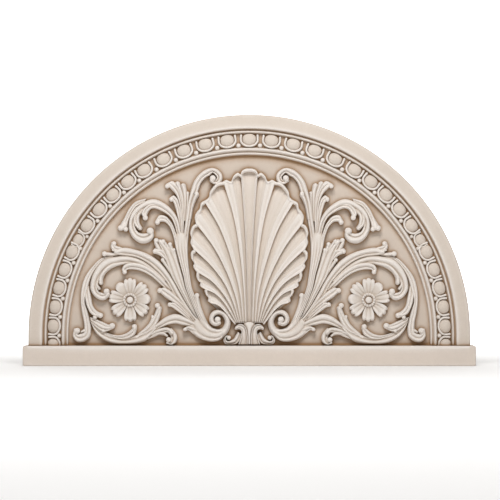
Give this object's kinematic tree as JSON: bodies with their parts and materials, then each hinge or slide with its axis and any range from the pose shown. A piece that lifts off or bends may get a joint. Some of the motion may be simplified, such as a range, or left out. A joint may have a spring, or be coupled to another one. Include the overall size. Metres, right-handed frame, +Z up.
{
  "type": "tympanum panel",
  "caption": "Half-round stone panel for over a door, with an egg-and-dart arch moulding around a scallop shell and leafy scrolls in relief, standing on a straight base ledge.",
  "frame": {"origin": "middle of the base ledge's underside", "axes": "+X to the viewer's right along the ledge, +Y from the carved front to the flat back, +Z up"},
  "size_m": [1.2, 0.086, 0.6658],
  "materials": {
    "panel_stone": "fine-grained and matt, brown in the hollows",
    "ledge_stone": "rubbed smooth, matt"
  },
  "bodies": {
    "root": {"carved_panel": "panel_stone", "base_ledge": "ledge_stone"}
  },
  "joints": []
}
